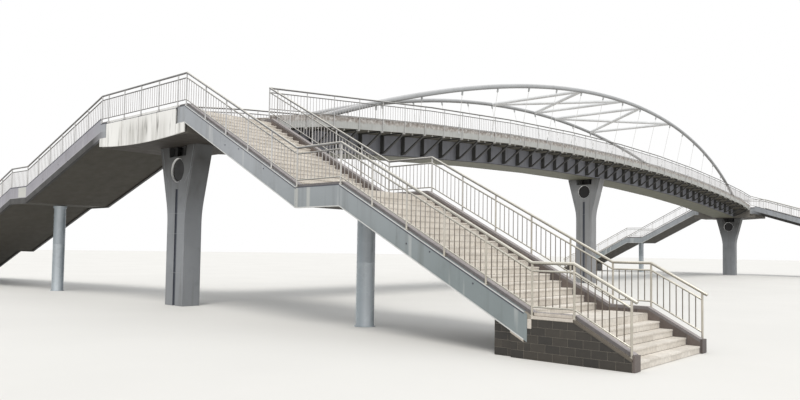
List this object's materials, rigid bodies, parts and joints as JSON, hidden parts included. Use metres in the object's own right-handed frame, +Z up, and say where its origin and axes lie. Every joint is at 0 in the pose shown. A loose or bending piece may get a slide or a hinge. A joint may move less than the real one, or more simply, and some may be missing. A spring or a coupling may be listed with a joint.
{
  "type": "half-scale model of a steel footbridge",
  "caption": "Cambered steel footbridge with leaning tied arches, hanger rods, plant troughs, flared piers and railed stairs down from both ends; half-scale model.",
  "frame": {"origin": "on the ground under the middle pier, centred between both ends", "axes": "+X along the stairs, towards the near end's steep stair; +Y along the span from the near end to the far end; +Z up"},
  "size_m": [25.1358, 30.63, 5.6373],
  "materials": {
    "pier_concrete": "weathered matt paint",
    "ring_white": "satin",
    "structure_paint": "matt, shaded",
    "fascia_white": "matt with dark run-off streaks",
    "stringer_paint": "satin",
    "soffit_paint": "matt",
    "kerb_stone": "worn",
    "step_stone": "worn",
    "masonry_tile": "dark tiles with pale joints",
    "column_paint": "satin",
    "rail_steel": "brushed",
    "girder_paint": "matt",
    "deck_paving": "worn",
    "trough_paint": "weathered, rusty upper half",
    "arch_paint": "satin",
    "hanger_steel": "brushed",
    "brace_paint": "satin"
  },
  "bodies": {
    "root": {"near_pier": "pier_concrete", "near_pier_ring": "ring_white", "near_landing": "structure_paint", "near_end_fascia": "fascia_white", "near_stringers": "stringer_paint", "near_stair_soffits": "soffit_paint", "near_stair_kerbs": "kerb_stone", "near_steep_steps": "step_stone", "near_gentle_steps": "step_stone", "near_steep_base": "masonry_tile", "near_stair_columns": "column_paint", "near_stair_posts": "rail_steel", "near_stair_rails": "rail_steel", "far_pier": "pier_concrete", "far_pier_ring": "ring_white", "far_landing": "structure_paint", "far_end_fascia": "fascia_white", "far_stringers": "stringer_paint", "far_stair_soffits": "soffit_paint", "far_stair_kerbs": "kerb_stone", "far_steep_steps": "step_stone", "far_gentle_steps": "step_stone", "far_steep_base": "masonry_tile", "far_stair_columns": "column_paint", "far_stair_posts": "rail_steel", "far_stair_rails": "rail_steel", "mid_pier": "pier_concrete", "mid_pier_ring": "ring_white", "box_girder": "girder_paint", "deck_slab": "deck_paving", "edge_troughs": "trough_paint", "deck_brackets": "girder_paint", "deck_posts": "rail_steel", "deck_rails": "rail_steel", "east_arch_rib": "arch_paint", "west_arch_rib": "arch_paint", "arch_hangers": "hanger_steel", "arch_bracing": "brace_paint"}
  },
  "joints": []
}
